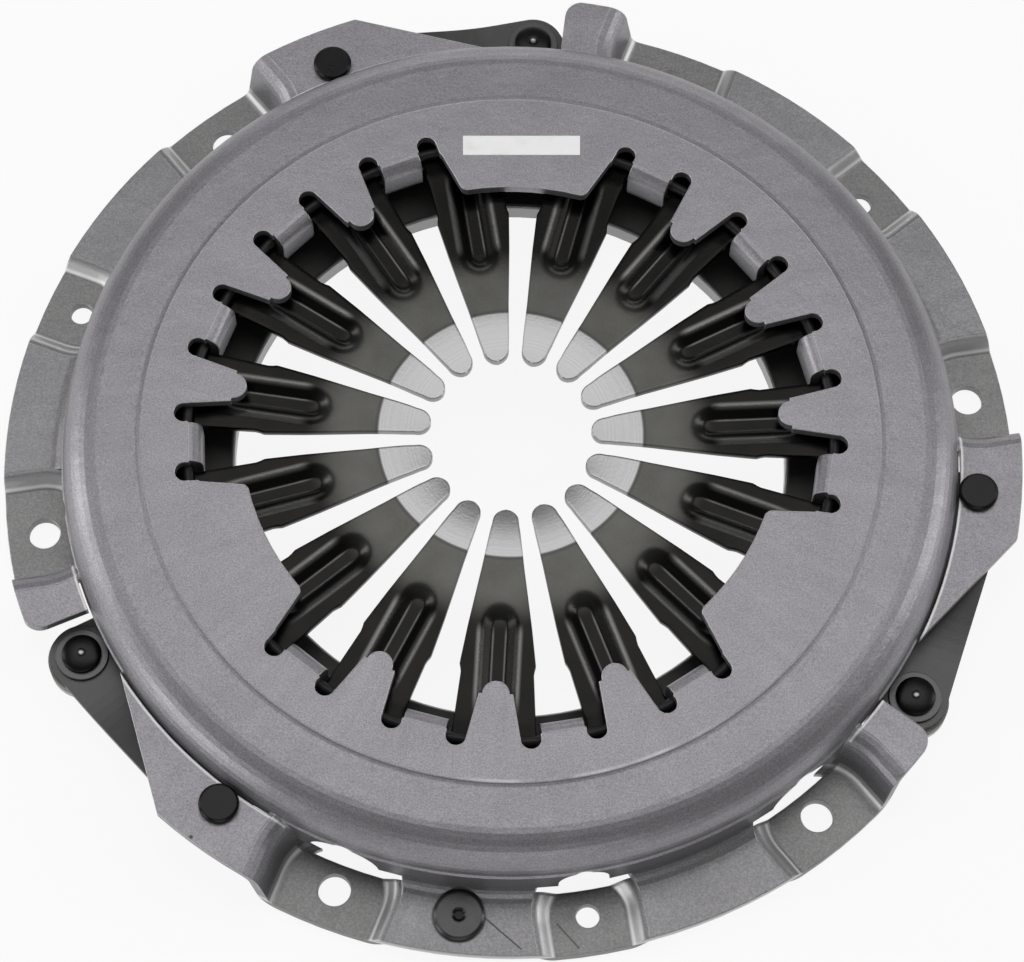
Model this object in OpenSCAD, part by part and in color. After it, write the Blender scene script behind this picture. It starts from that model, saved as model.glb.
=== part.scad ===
// Clutch cover assembly with diaphragm spring, the part usually called a clutch pressure plate.
// Millimetres. The origin is the centre of the bolt circle on the face that meets the flywheel.
// +Z points away from the flywheel, to the release bearing. +Y points to one of the three lugs.
// Shown free, before it is bolted down: the pressure plate then hangs nearest to the flywheel.

/* [Cover] */
// Height of the cover's top above the flywheel face
cover_h = 32; // [30:0.5:36]
// Thickness of the cover's sheet
sheet_t = 3; // [2.6:0.1:3.2]
// Outer diameter of the domed wall
wall_d = 252; // [251.6:0.2:253.4]
// Outer radius of the dome's shoulder
shoulder_r = 11; // [9:0.5:12]
// Diameter inside the tips of the inward tongues
tongue_tip_d = 149.8; // [146:0.2:152]
// Diameter reached by the outer ends of the slots beside each hook
slot_reach_d = 187.4; // [186:0.2:190]
// Width of those slots
slot_w = 5.6; // [5:0.1:6]
// Width of each hook tab
hook_w = 11.6; // [10.6:0.1:12.2]

/* [Flange] */
// Pitch circle diameter of the bolts and dowels
bolt_pcd = 268; // [266:0.5:270]
// Width of the flange outside the bolt circle
flange_edge = 10.4; // [9:0.1:13]
// Diameter of the six bolt holes
bolt_hole_d = 9; // [8.4:0.1:10]
// Diameter of the three dowel holes
dowel_hole_d = 6.5; // [6:0.1:8]
// Width of the flat seat round a bolt hole
bolt_seat_w = 26.4; // [24:0.2:28]
// Width of the flat seat round a dowel hole
dowel_seat_w = 20; // [18:0.2:22]
// Height of the flange's underside between the seats
flange_lift = 3.5; // [3:0.1:4.5]
// Height of the strap ears' underside
ear_lift = 17.1; // [16.6:0.1:17.6]
// Diameter of the balance rivet's head
balance_head_d = 14; // [12:0.5:15]

/* [Diaphragm spring] */
// Thickness of the spring's steel
spring_t = 2.5; // [2.2:0.1:2.6]
// Outer diameter of the spring
spring_d = 227; // [225:0.5:229]
// Diameter inside the finger tips
tip_d = 45.4; // [42:0.2:50]
// Width of a finger's rounded tip
tip_w = 7.4; // [6.6:0.1:7.6]
// Cone angle of the free spring's outer ring
cone_deg = 6.5; // [5:0.1:7]
// Depth of the stiffening channel pressed into each finger
rib_depth = 2; // [1.2:0.1:2.2]
// Width of that channel at the finger's surface
rib_w = 8.4; // [7:0.1:9]
// Diameter of the two pivot wires
wire_d = 3; // [2.8:0.1:3.2]

/* [Pressure plate] */
// Inner diameter of the friction face
plate_bore_d = 156.6; // [154:0.2:158]
// Outer diameter of the plate
plate_d = 244.6; // [243:0.2:245]
// Thickness of the plate under the hooks
plate_t = 7.6; // [7:0.1:8]
// Room between the plate and the hooks above it while the part is free
plate_room = 4.6; // [4.3:0.1:5]
// Diameter of the ridge that the spring presses on
ridge_d = 220; // [218:0.5:221]
// Thickness of the lugs
lug_t = 5.8; // [5:0.1:6]
// Width of the lugs and of their rounded ends
lug_w = 19.5; // [18:0.1:20.5]

/* [Straps and rivets] */
// Width of the straps
strap_w = 18; // [16:0.2:18.4]
// Thickness of one leaf
leaf_t = 0.76; // [0.6:0.02:0.78]
// Diameter of the rivets' heads
head_d = 11; // [10:0.2:11.4]
// Height of the rivets' heads
head_h = 2.2; // [1.8:0.1:2.4]
// Diameter of the rivets' shanks
shank_d = 6; // [5:0.1:6.4]
// Outer diameter of the washers under the lug rivets' heads
washer_d = 14.6; // [13:0.2:15.4]
// Thickness of those washers
washer_t = 1; // [0.8:0.1:1.2]

/* [Hidden] */
$fn = 96;

big = 400;
fit_gap = 0.05;        // room between a rivet's shank and its hole
shy = 0.05;            // how much narrower a straight side is than the round end that it leaves
slit_w = 0.9;          // slit between the dome and each ear

// Angles are counted anticlockwise from the nearest lug. Everything repeats three times.
groups = 3;
third = 360 / groups;
fingers_per_group = 5;
pitch = third / fingers_per_group;
fingers = groups * fingers_per_group;
lug_at = 90;
bolt_at = [42, 102];
dowel_at = 72;
ear_rivet_at = 26.4;
balance_at = 57;
balance_group = 1;
balance_head_h = 1.8;
balance_foot_h = 1.6;
balance_dimple = 0.6;
spot_depth = 0.1;      // spot face that clears the wall's fillet from the balance rivet's head
spot_room = 0.3;

// Heights of the stack that holds the spring, from the cover down
cover_under = cover_h - sheet_t;
play = 0.06;                               // looseness of the spring between the wires
pivot_top = cover_under - wire_d - play;   // the spring's top at its pivot
pivot_under = pivot_top - spring_t;
hook_seat = pivot_under - play - wire_d;   // the hooks' top face
hook_foot = hook_seat - sheet_t;
hook_gap = 0.3;                            // room between the wires and the hooks' legs
bend_in = 1;                               // inner radius of a bend in the sheet
past_rim = 30;                             // a length that runs out over the flange's rim
rim_over = 2;                              // how much larger than the rim its trimmed shapes are drawn
lap = 0.2;                                 // how far a flat runs in over the bend beside it
root_taper = 0.4;                          // a bend's root narrows this much inside its flat
bend_from = 6;                             // a bend's arc starts this many degrees off its flat
slot_r = slot_reach_d / 2 - slot_w / 2;
leg_out = slot_r - 1.9;                    // outer face of the hooks' legs
pivot_r = leg_out + hook_gap + wire_d / 2;
hook_reach = pivot_r + wire_d / 2 + 1.6;

// Dome
crown_r = 103.5;                           // where the flat top turns into the sloping rim
crown_drop = 0.7;
wall_r = wall_d / 2;
shoulder_x = wall_r - shoulder_r;
shoulder_z = cover_h - crown_drop - shoulder_r;
crease_step = 0.5;
wall_foot_r = wall_r + crease_step + 0.2;
foot_fillet = 4.5;
wall_foot_z = flange_lift + sheet_t + foot_fillet;
window_from = -10;
window_to = 33;
window_h = ear_lift + 1.1;

// Flange
pcd_r = bolt_pcd / 2;
flange_r = pcd_r + flange_edge;
small_bend = 2.6;
small_deg = 45;
steep_bend = 4;
steep_deg = 80;
ear_in_r = wall_r + slit_w + 0.1;
tab_end_at = 116.2;
tab_corner_r = 5;
ear_edge_from = [120, -43.5];              // the ear's slanted edge, seen from its rivet's radius
ear_edge_deg = 52.8;
ear_edge_cut = 100;                        // reach of the shape that cuts along that edge
arch_top = shoulder_z - 0.6;

// Pressure plate
plate_top = hook_foot - plate_room;
face_h = plate_top - plate_t;
plate_r = plate_d / 2;
ridge_r = ridge_d / 2;
ridge_w = 5;
lug_r = 133.3;
lug_top = plate_top - 3.9;
strap_gap = 1;
strap_relief = 60;                         // reach of the relief under each strap, past the plate's rim
lug_neck_r = lug_r - 7.3;                  // where a lug starts to spread, and where it meets the ring
lug_foot_r = plate_r - 1.3;
lug_in_r = plate_r - 10.3;
lug_spread = 4;
lug_step = 0.4;                            // the lugs' small steps to the ring's relief and to its friction face

// Straps
leaf_pitch = 0.8;
leaves = 3;
pack_t = leaf_pitch * leaves;
ear_rivet_r = 132.07;
strap_drop = ear_lift - pack_t - lug_top;
ear_pos = ear_rivet_r * [cos(ear_rivet_at), sin(ear_rivet_at)];
lug_pos = [lug_r, 0];
strap_span = norm(ear_pos - lug_pos);
strap_dir = atan2(ear_pos[1], ear_pos[0] - lug_r);
strap_flat = 10;

function cone_z(r) = pivot_top - (r - pivot_r) * tan(cone_deg);
function polar(r, a) = [r * cos(a), r * sin(a)];
function ease(s) = (1 - cos(180 * s)) / 2;
function reversed(list) = [for (i = [len(list) - 1 : -1 : 0]) list[i]];

// One copy for each lug, turned so that +X runs outward through that lug
module at_lug(k) rotate(lug_at + third * k) children();
module each_lug() for (k = [0 : groups - 1]) at_lug(k) children();

module ring(r_out, r_in, z0, z1) translate([0, 0, z0]) difference() {
  cylinder(r = r_out, h = z1 - z0);
  translate([0, 0, -1]) cylinder(r = r_in, h = z1 - z0 + 2);
}

// A flat shape with one round end at the origin and straight sides that run to x = long.
// The sides stand a little inside the round end, so that they cross it cleanly.
module round_end(half, long) {
  circle(r = half);
  translate([0, shy - half]) square([long, 2 * (half - shy)]);
}

// A pie slice between two angles, for cutting
module slice2d(a0, a1, r = big) polygon(concat([[0, 0]], [for (i = [0 : 6]) polar(r, a0 + (a1 - a0) * i / 6)]));

// Dome

function arc(cx, cz, r, a0, a1, n) = [for (i = [0 : n]) [cx + r * cos(a0 + (a1 - a0) * i / n),
                                                        cz + r * sin(a0 + (a1 - a0) * i / n)]];

module dome() {
  inner_r = tongue_tip_d / 2 - 6;
  outer = concat(
    [[inner_r, cover_h], [crown_r, cover_h], [crown_r + 1.2, cover_h - 0.25]],
    arc(shoulder_x, shoulder_z, shoulder_r, 86, 0, 10),
    [[wall_r, shoulder_z - 0.5], [wall_r + crease_step, shoulder_z - 1], [wall_foot_r, wall_foot_z - lap]]);
  inner = concat(
    [[wall_foot_r - sheet_t, wall_foot_z - lap], [wall_r + crease_step - sheet_t, shoulder_z - 1.4],
     [wall_r - sheet_t, shoulder_z - 0.9]],
    arc(shoulder_x, shoulder_z, shoulder_r - sheet_t, 0, 86, 10),
    [[crown_r + 1.2, cover_under - 0.25], [crown_r, cover_under], [inner_r, cover_under]]);
  rotate_extrude() polygon(concat(outer, inner));
}

// The gap between two tongues: a hook's notch with a rounded slot on each side
slot_u = slot_r * sin(5.66);
gap_half = slot_u + slot_w / 2;
notch_r = leg_out + bend_in - lap;

module hook_notch() {
  translate([0, -gap_half]) square([notch_r, 2 * gap_half]);
  for (s = [-1, 1]) translate([slot_r, s * slot_u]) rotate(180) round_end(slot_w / 2, slot_r - notch_r + 4);
}

tip_r = tongue_tip_d / 2;
tongue_round = 3.7;
wide_half = 13.8;      // half the angle of a wide tongue at its tip, and how far its sides flare by the slots
wide_flare = 3;
wide_reach = 88;
wide_from = 18;        // half the angle that the wide tongue and the gap beside it take
wide_cut = 20;         // the same, for the cut that frees its sides

// Half outline of a wide tongue: the side flares outward from a rounded corner
wide_side = [polar(tip_r - 2, wide_half - 3.2), polar(tip_r + 0.12, wide_half - 1.05),
             polar(tip_r + 0.55, wide_half - 0.45), polar(tip_r + 1.2, wide_half - 0.08),
             polar(slot_r + 1, wide_half + wide_flare)];

module wide_tongue() difference() {
  polygon(concat(wide_side, reversed([for (p = wide_side) [p[0], -p[1]]])));
  circle(r = tip_r);
}

module top_opening() {
  difference() {
    circle(r = tip_r + tongue_round);
    each_lug() {
      slice2d(-wide_from, wide_from);
      for (i = [1 : fingers_per_group - 2]) rotate(pitch * (i + 0.5)) translate([tip_r + tongue_round, 0])
        circle(r = tongue_round);
    }
  }
  each_lug() {
    for (i = [1 : fingers_per_group - 1]) rotate(pitch * i) hook_notch();
    difference() {
      slice2d(-wide_cut, wide_cut, wide_reach);
      wide_tongue();
    }
  }
}

// A hook: the tongue of sheet that turns down through the spring and out under the lower wire
module hook() {
  leg_in = leg_out - sheet_t;
  outer_bend = bend_in + sheet_t;
  profile = concat(
    [[notch_r + 1, cover_h - root_taper]],
    arc(leg_out + bend_in, cover_under - bend_in, outer_bend, 90 + bend_from, 180, 6),
    arc(leg_out + bend_in, hook_seat + bend_in, outer_bend, 180, 270, 4),
    [[hook_reach, hook_foot], [hook_reach, hook_seat]],
    arc(leg_out + bend_in, hook_seat + bend_in, bend_in, 270, 180, 3),
    arc(leg_out + bend_in, cover_under - bend_in, bend_in, 180, 90 + bend_from, 3),
    [[notch_r + 1, cover_under + root_taper]]);
  translate([0, hook_w / 2, 0]) rotate([90, 0, 0]) linear_extrude(hook_w) polygon(profile);
}

// Flange

function ramp_run(h, bend, deg) = 2 * bend * sin(deg) + (h - 2 * bend * (1 - cos(deg))) / tan(deg);

// Side view of a step in the sheet that starts at x = 0 and climbs by h
function ramp_side(h, bend, deg, off, n = 4) =
  let (run = ramp_run(h, bend, deg), root = off - sign(off) * root_taper) concat(
    [[-1, sheet_t / 2 + root]],
    [for (i = [0 : n]) let (a = bend_from + (deg - bend_from) * i / n)
      [(bend - off) * sin(a), sheet_t / 2 + bend - (bend - off) * cos(a)]],
    [for (i = [0 : n]) let (a = deg - (deg - bend_from) * i / n)
      [run - (bend + off) * sin(a), h + sheet_t / 2 - bend + (bend + off) * cos(a)]],
    [[run + 1, h + sheet_t / 2 + root]]);

function ramp_profile(h, bend, deg) = concat(
  ramp_side(h, bend, deg, -sheet_t / 2), reversed(ramp_side(h, bend, deg, sheet_t / 2)));

// Outline of a seat: a round inner end, straight sides that run out over the rim
module seat_outline(half) round_end(half, past_rim);

// The ramp on one side of a seat: s = 1 is the anticlockwise side
module seat_ramp(half, h, bend, deg, s) {
  profile = [for (p = ramp_profile(h, bend, deg)) [half + p[0], p[1]]];
  mirror([0, s > 0 ? 0 : 1, 0]) {
    rotate(90) rotate_extrude(angle = 90) polygon(profile);
    rotate([90, 0, 90]) linear_extrude(past_rim) polygon(profile);
  }
}

small_run = ramp_run(flange_lift, small_bend, small_deg);
steep_run = ramp_run(ear_lift, steep_bend, steep_deg);

module small_ramp(half, s) seat_ramp(half, flange_lift, small_bend, small_deg, s);
module steep_ramp(half, s) seat_ramp(half, ear_lift, steep_bend, steep_deg, s);

module at_pad(a) rotate(a) translate([pcd_r, 0, 0]) children();

// The raised flange with its fillet up to the wall, over the stretch between the outer bolts
module raised_flange() {
  top = flange_lift + sheet_t;
  fillet_x = wall_foot_r + foot_fillet;
  profile = concat(
    [[wall_foot_r - root_taper, wall_foot_z + 1]],
    arc(fillet_x, top + foot_fillet, foot_fillet, 180 + bend_from, 270, 5),
    [[flange_r + rim_over, top], [flange_r + rim_over, flange_lift]],
    arc(fillet_x, top + foot_fillet, foot_fillet + sheet_t, 270, 180 + bend_from, 5),
    [[wall_foot_r - sheet_t + root_taper, wall_foot_z + 1]]);
  difference() {
    rotate(bolt_at[0]) rotate_extrude(angle = bolt_at[1] - bolt_at[0]) polygon(profile);
    for (a = bolt_at) at_pad(a) translate([0, 0, -1]) linear_extrude(wall_foot_z + 2)
      seat_outline(bolt_seat_w / 2 + small_run - lap);
    at_pad(dowel_at) translate([0, 0, -1]) linear_extrude(wall_foot_z + 2)
      seat_outline(dowel_seat_w / 2 + small_run - lap);
  }
}

module seats_and_ramps() {
  difference() {
    union() {
      at_pad(bolt_at[0]) {
        linear_extrude(sheet_t) seat_outline(bolt_seat_w / 2 + lap);
        small_ramp(bolt_seat_w / 2, 1);
      }
      at_pad(bolt_at[1]) {
        linear_extrude(sheet_t) seat_outline(bolt_seat_w / 2 + lap);
        small_ramp(bolt_seat_w / 2, -1);
      }
      at_pad(dowel_at) {
        linear_extrude(sheet_t) seat_outline(dowel_seat_w / 2 + lap);
        for (s = [-1, 1]) small_ramp(dowel_seat_w / 2, s);
      }
    }
    translate([0, 0, -1]) cylinder(r = wall_foot_r, h = cover_h);
  }
  difference() {
    union() {
      at_pad(bolt_at[0]) steep_ramp(bolt_seat_w / 2, -1);
      at_pad(bolt_at[1]) steep_ramp(bolt_seat_w / 2, 1);
    }
    translate([0, 0, -1]) cylinder(r = wall_r - sheet_t / 2, h = cover_h);
  }
}

// The ear that carries the straps, with its slanted edge towards the lug
module ear_outline() difference() {
  intersection() {
    difference() {
      circle(r = flange_r + rim_over);
      circle(r = ear_in_r);
    }
    slice2d(3, bolt_at[0]);
  }
  rotate(ear_rivet_at) translate(ear_edge_from) rotate(ear_edge_deg) translate([-ear_edge_cut, -ear_edge_cut])
    square([2 * ear_edge_cut, ear_edge_cut]);
  at_pad(bolt_at[0]) seat_outline(bolt_seat_w / 2 + steep_run - lap);
}

// The short tab on the other side of the lug window
module tab_outline() difference() {
  intersection() {
    difference() {
      circle(r = flange_r + rim_over);
      circle(r = ear_in_r);
    }
    slice2d(bolt_at[1], tab_end_at);
  }
  at_pad(bolt_at[1]) seat_outline(bolt_seat_w / 2 + steep_run - lap);
  rotate(tab_end_at) difference() {
    translate([flange_r - tab_corner_r, -tab_corner_r]) square([tab_corner_r + 5, tab_corner_r + 5]);
    translate([flange_r - tab_corner_r, -tab_corner_r - shy]) circle(r = tab_corner_r);
  }
}

// The dome with its tongues, cut short over the lugs and straps and arched over the seats
module dome_shell() difference() {
  dome();
  translate([0, 0, cover_under - 5]) linear_extrude(20) top_opening();
  each_lug() {
    translate([0, 0, -1]) linear_extrude(window_h + 1) difference() {
      slice2d(window_from, window_to);
      circle(r = shoulder_x);
    }
    for (a = concat(bolt_at, [dowel_at])) seat_arch(a, (a == dowel_at ? dowel_seat_w : bolt_seat_w) / 2 - 3);
  }
}

module seat_arch(a, half) rotate(a) translate([shoulder_x, 0, arch_top - half]) rotate([0, 90, 0])
  linear_extrude(30) {
    circle(r = half);
    translate([0, -half]) square([arch_top, 2 * half]);
  }

module hooks() each_lug() for (i = [1 : fingers_per_group - 1]) rotate(pitch * i) hook();

module flange() intersection() {
  translate([0, 0, -1]) cylinder(r = flange_r, h = cover_h);
  each_lug() {
    raised_flange();
    seats_and_ramps();
    translate([0, 0, ear_lift]) linear_extrude(sheet_t) {
      ear_outline();
      tab_outline();
    }
  }
}

module cover_holes() {
  each_lug() {
    for (a = bolt_at) at_pad(a) translate([0, 0, -1]) cylinder(d = bolt_hole_d, h = sheet_t + 2);
    at_pad(dowel_at) translate([0, 0, -1]) cylinder(d = dowel_hole_d, h = sheet_t + 2);
    translate([ear_pos[0], ear_pos[1], ear_lift - 1]) cylinder(d = shank_d + 2 * fit_gap, h = sheet_t + 2);
  }
  at_lug(balance_group) at_pad(balance_at) {
    translate([0, 0, flange_lift - 1]) cylinder(d = shank_d + 2 * fit_gap, h = sheet_t + 2);
    translate([0, 0, flange_lift + sheet_t - spot_depth])
      cylinder(d = balance_head_d + 2 * spot_room, h = 2 * foot_fillet);
  }
}

module cover() color([0.58, 0.57, 0.59]) difference() {
  union() {
    union() {
      dome_shell();
      hooks();
    }
    flange();
  }
  cover_holes();
}

// Diaphragm spring

finger_crest_r = 36;
knuckle_r = leg_out - sheet_t - 1.5;
window_end = leg_out + 0.5;
window_corner = 1.2;
window_half = hook_w / 2 + 1.1;
rib_from = 52;
rib_to = 80;

function finger_top(r) = cone_z(knuckle_r) + 0.7 * (knuckle_r - r) / (knuckle_r - finger_crest_r);

module spring_blank() {
  rim = spring_d / 2;
  crest = finger_top(finger_crest_r);
  tip = tip_d / 2;
  top = concat([[rim, cone_z(rim)], [knuckle_r, cone_z(knuckle_r)], [finger_crest_r, crest]],
               [for (i = [1 : 5]) let (s = i / 5) [finger_crest_r + (tip - finger_crest_r) * s, crest - 1.1 * s * s]]);
  rotate_extrude() polygon(concat(top, reversed([for (p = top) [p[0], p[1] - spring_t]])));
}

// The slot between two fingers, which opens into the window for a hook
module finger_slot() {
  sides = [[tip_d / 2 - 2, 1.85], [30, 2], [40, 2.6], [58, 3.3], [69, 4], [71, 4.9],
           [window_end - 2.6, window_half], [window_end - window_corner, window_half],
           [window_end - window_corner, 0]];
  polygon(concat(sides, reversed([for (p = sides) [p[0], -p[1]]])));
  for (s = [-1, 1]) translate([window_end - window_corner, s * (window_half - window_corner)])
    circle(r = window_corner);
  translate([window_end - 2 * window_corner, window_corner - window_half])
    square([2 * window_corner, 2 * (window_half - window_corner)]);
}

// The stiffening channel: wide at the top by w, sloping to a narrower floor
module channel(w, depth, z) {
  floor_w = w - 2 * depth * 0.9;
  translate([rib_from + w / 2, 0, z - depth]) {
    cylinder(d1 = floor_w, d2 = w, h = depth);
    rotate([90, 0, 90]) linear_extrude(rib_to - rib_from - w / 2)
      polygon([[-floor_w / 2, 0], [floor_w / 2, 0], [w / 2, depth], [-w / 2, depth]]);
  }
}

module diaphragm_spring() color([0.33, 0.33, 0.32]) {
  z_rib = finger_top((rib_from + rib_to) / 2);
  difference() {
    union() {
      difference() {
        spring_blank();
        translate([0, 0, -1]) linear_extrude(cover_h + 2) {
          difference() {
            circle(r = tip_d / 2 + tip_w / 2);
            for (i = [0 : fingers - 1]) rotate(lug_at + pitch * (i + 0.5)) translate([tip_d / 2 + tip_w / 2, 0])
              circle(d = tip_w);
          }
          for (i = [0 : fingers - 1]) rotate(lug_at + pitch * i) finger_slot();
        }
      }
      for (i = [0 : fingers - 1]) rotate(lug_at + pitch * (i + 0.5))
        channel(rib_w + 2.4, rib_depth + 0.6, z_rib - spring_t + 0.6);
    }
    for (i = [0 : fingers - 1]) rotate(lug_at + pitch * (i + 0.5)) channel(rib_w, rib_depth + 1, z_rib + 1);
  }
}

// Pivot wires

module wire(z) color([0.45, 0.45, 0.46]) translate([0, 0, z]) rotate_extrude() translate([pivot_r, 0])
  circle(d = wire_d, $fn = 32);

module upper_pivot_wire() wire(cover_under - wire_d / 2);
module lower_pivot_wire() wire(hook_seat + wire_d / 2);

// Pressure plate

module plate_ring() {
  ridge_z = cone_z(ridge_r) - spring_t - play;
  shelf = plate_top + 1.2;
  bore = plate_bore_d / 2;
  channel_r = hook_reach + 2.5;
  profile = concat(
    [[bore + 0.8, face_h], [plate_r - 3, face_h], [plate_r, face_h + 3], [plate_r, shelf - 1], [plate_r - 1, shelf],
     [ridge_r + ridge_w + 1.5, shelf], [ridge_r + ridge_w / 2, shelf + 2]],
    arc(ridge_r, ridge_z - ridge_w / 2, ridge_w / 2, 0, 180, 8),
    [[ridge_r - ridge_w / 2, shelf + 2], [ridge_r - ridge_w - 1, shelf], [channel_r + 1.4, shelf], [channel_r, plate_top],
     [bore + 1, plate_top], [bore, plate_top - 1], [bore, face_h + 0.8]]);
  rotate_extrude() polygon(profile);
}

module lug_shape() {
  translate([lug_r, 0]) circle(d = lug_w);
  side = [[lug_r, lug_w / 2], [lug_neck_r, lug_w / 2], [lug_foot_r, lug_w / 2 + lug_spread],
          [lug_in_r, lug_w / 2 + lug_spread + 1]];
  polygon(concat(side, reversed([for (p = side) [p[0], -p[1]]])));
}

module strap_frame() translate([lug_r, 0, 0]) rotate(strap_dir) children();

// A lug stops short of the friction face where it runs into the ring
module lug() difference() {
  translate([0, 0, lug_top - lug_t]) linear_extrude(lug_t) lug_shape();
  translate([0, 0, face_h + lug_step - cover_h]) cylinder(r = plate_r + 1, h = cover_h);
}

module pressure_plate() color([0.5, 0.49, 0.47]) difference() {
  union() {
    difference() {
      plate_ring();
      // the rim is relieved under each strap
      each_lug() strap_frame()
        translate([-strap_w / 2, strap_w / 2 + strap_gap - strap_relief, lug_top - lug_step])
          cube([strap_span + strap_w, strap_relief, cover_h]);
    }
    each_lug() lug();
  }
  each_lug() translate([lug_r, 0, 0]) {
    cylinder(d = shank_d + 2 * fit_gap, h = cover_h);
    cylinder(d = head_d + 0.8, h = lug_top - lug_t + head_h);
  }
}

// Straps

// Side view of a leaf along its length, from the lug at x = 0 up to the ear
module leaf_side() {
  n = 14;
  steps = [for (i = [0 : n]) [strap_flat + (strap_span - 2 * strap_flat) * i / n, strap_drop * ease(i / n)]];
  low = concat([[-strap_w, 0]], steps, [[strap_span + strap_w, strap_drop]]);
  polygon(concat(low, reversed([for (p = low) [p[0], p[1] + leaf_t]])));
}

module leaf(k, i) color([0.24, 0.23, 0.23]) at_lug(k) strap_frame() translate([0, 0, lug_top + leaf_pitch * i])
  difference() {
    intersection() {
      translate([0, strap_w / 2, 0]) rotate([90, 0, 0]) linear_extrude(strap_w) leaf_side();
      translate([0, 0, -1]) linear_extrude(cover_h) {
        for (x = [0, strap_span]) translate([x, 0]) circle(d = strap_w);
        translate([0, -strap_w / 2]) square([strap_span, strap_w]);
      }
    }
    for (x = [0, strap_span]) translate([x, 0, -1]) cylinder(d = shank_d + 2 * fit_gap, h = cover_h);
  }

// Rivets and washers

// A rivet that grips from z0 to z1, with its made head above and its closed head below
module rivet(z0, z1) color([0.13, 0.13, 0.13]) {
  crown = 0.6;
  rotate_extrude() polygon([
    [0, z0 - head_h], [head_d / 2 - 1, z0 - head_h], [head_d / 2, z0 - head_h + 0.8], [head_d / 2, z0],
    [shank_d / 2, z0], [shank_d / 2, z1], [head_d / 2, z1], [head_d / 2, z1 + head_h - crown],
    [head_d / 2 - crown, z1 + head_h], [0, z1 + head_h]]);
}

module cover_rivet(k) at_lug(k) translate(ear_pos) rivet(ear_lift - pack_t, ear_lift + sheet_t);

module lug_rivet(k) at_lug(k) translate(lug_pos)
  rivet(lug_top - lug_t + head_h, lug_top + pack_t + washer_t);

module lug_washer(k) color([0.5, 0.5, 0.5]) at_lug(k) translate([lug_r, 0, lug_top + pack_t]) difference() {
  cylinder(d = washer_d, h = washer_t);
  translate([0, 0, -1]) cylinder(d = shank_d + 2 * fit_gap, h = washer_t + 2);
}

module balance_rivet() color([0.2, 0.2, 0.2]) at_lug(balance_group) at_pad(balance_at) {
  seat = flange_lift + sheet_t - spot_depth;
  top = seat + balance_head_h;
  foot = flange_lift - balance_foot_h;
  shank = shank_d / 2;
  head = balance_head_d / 2;
  rotate_extrude() polygon([
    [0, foot], [head_d / 2 - 1, foot], [head_d / 2, foot + 0.6], [head_d / 2, flange_lift],
    [shank, flange_lift], [shank, seat], [head, seat], [head, top - 0.6], [head - 0.8, top],
    [2, top], [1.2, top - balance_dimple], [0, top - balance_dimple]]);
}

cover();
pressure_plate();
diaphragm_spring();
upper_pivot_wire();
lower_pivot_wire();
leaf(0, 2);  // strap_1_top_leaf
leaf(0, 1);  // strap_1_middle_leaf
leaf(0, 0);  // strap_1_bottom_leaf
leaf(1, 2);  // strap_2_top_leaf
leaf(1, 1);  // strap_2_middle_leaf
leaf(1, 0);  // strap_2_bottom_leaf
leaf(2, 2);  // strap_3_top_leaf
leaf(2, 1);  // strap_3_middle_leaf
leaf(2, 0);  // strap_3_bottom_leaf
cover_rivet(0);  // cover_rivet_1
cover_rivet(1);  // cover_rivet_2
cover_rivet(2);  // cover_rivet_3
lug_rivet(0);  // lug_rivet_1
lug_rivet(1);  // lug_rivet_2
lug_rivet(2);  // lug_rivet_3
lug_washer(0);  // lug_washer_1
lug_washer(1);  // lug_washer_2
lug_washer(2);  // lug_washer_3
balance_rivet();
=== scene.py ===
import math

import bmesh
import bpy
from mathutils import Matrix, Vector

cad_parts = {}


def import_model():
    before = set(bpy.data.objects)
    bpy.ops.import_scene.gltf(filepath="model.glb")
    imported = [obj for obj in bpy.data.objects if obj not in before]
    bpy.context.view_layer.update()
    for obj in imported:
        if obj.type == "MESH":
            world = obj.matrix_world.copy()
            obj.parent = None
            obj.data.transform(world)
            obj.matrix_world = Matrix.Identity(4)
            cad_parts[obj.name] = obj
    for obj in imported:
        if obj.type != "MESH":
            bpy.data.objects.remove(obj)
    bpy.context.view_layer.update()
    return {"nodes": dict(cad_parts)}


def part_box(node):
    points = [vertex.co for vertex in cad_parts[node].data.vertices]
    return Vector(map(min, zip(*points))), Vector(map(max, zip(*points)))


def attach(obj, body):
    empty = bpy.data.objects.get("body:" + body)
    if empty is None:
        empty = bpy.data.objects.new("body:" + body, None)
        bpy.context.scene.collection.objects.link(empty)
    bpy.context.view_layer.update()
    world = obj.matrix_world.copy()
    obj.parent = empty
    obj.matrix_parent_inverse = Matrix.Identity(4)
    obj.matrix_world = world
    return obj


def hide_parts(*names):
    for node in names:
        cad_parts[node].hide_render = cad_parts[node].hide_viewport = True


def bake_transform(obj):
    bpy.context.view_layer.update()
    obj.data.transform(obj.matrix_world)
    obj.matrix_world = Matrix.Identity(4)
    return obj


# Looks of the clutch pressure plate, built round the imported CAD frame.
# Lengths are in metres, the frame's own unit, and MM turns millimetres into them.
# Only the spring's shape is worked out in plain millimetres, which turned() makes metres at the end.
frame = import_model()
MM = 0.001

PHOTO_WIDTH = 1024
PHOTO_HEIGHT = 962

FINGERS = 15
HALF_SECTOR = math.pi / FINGERS
GROUPS = (1, 2, 3)


def added(name, data):
    """A new object in the scene, which shows the data."""
    made = bpy.data.objects.new(name, data)
    bpy.context.scene.collection.objects.link(made)
    return made


def middle_of(node):
    """The middle of a CAD node's box."""
    low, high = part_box(node)
    return (low + high) / 2


# Camera: the photograph's view, found from the bolt circle, the finger tips and the dome's edge

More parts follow.
